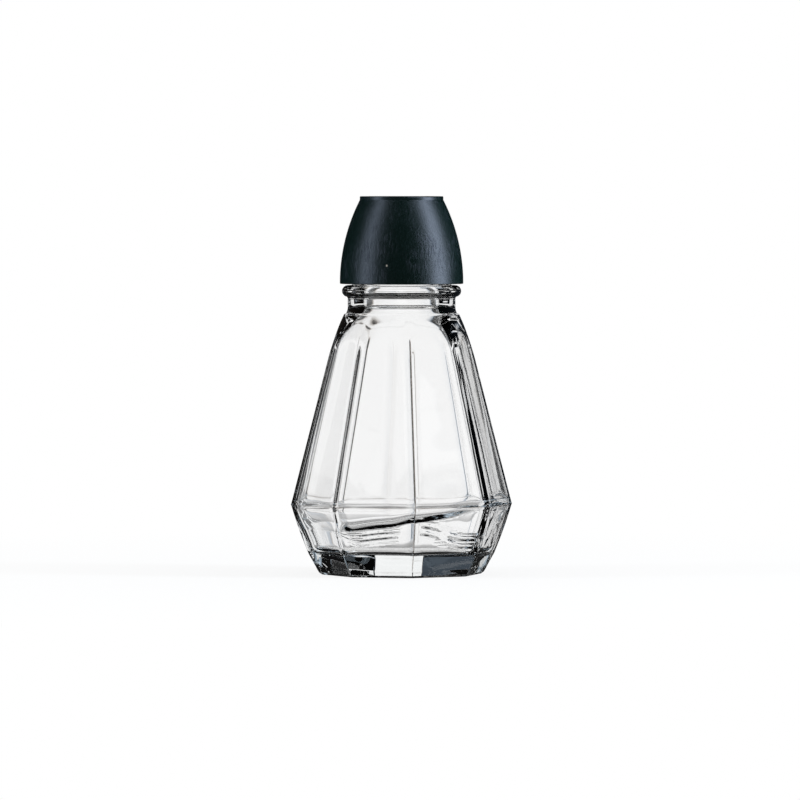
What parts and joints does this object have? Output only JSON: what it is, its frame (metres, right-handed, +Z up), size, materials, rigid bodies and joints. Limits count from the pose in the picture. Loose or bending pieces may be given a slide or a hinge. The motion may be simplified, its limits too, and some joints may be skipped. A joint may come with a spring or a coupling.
{
  "type": "salt shaker",
  "caption": "Facetted clear glass salt shaker, widest low down, with a short beaded neck and a domed black screw cap that holds a flat sifter plate.",
  "frame": {"origin": "centre of the base, on the surface the shaker stands on", "axes": "+Z up along the shaker's axis, and one of the glass edges points along -Y"},
  "size_m": [0.062, 0.062, 0.105],
  "materials": {
    "clear_glass": "clear pressed glass, fire polished",
    "cap_plastic": "black moulded plastic with a soft sheen and light handling marks",
    "plate_plastic": "black moulded plastic, slightly smoother than the cap",
    "washer_rubber": "off-white foamed liner"
  },
  "bodies": {
    "bottle": {"glass_bottle": "clear_glass"},
    "washer": {"sealing_washer": "washer_rubber"},
    "cap": {"cap_shell": "cap_plastic", "sifter_plate": "plate_plastic"}
  },
  "joints": [
    {"name": "cap_rise", "type": "slide", "parent": "bottle", "child": "washer", "axis": [0, 0, 1], "range_m": [0, 0.0106]},
    {"name": "cap_turn", "type": "hinge", "parent": "washer", "child": "cap", "pos_m": [0, 0, 0.0922], "axis": [0, 0, 1], "range_deg": [0, 900]}
  ],
  "couplings": [
    {"joint": "cap_rise", "follows": "cap_turn", "m_per_rad": 0.00066845}
  ]
}
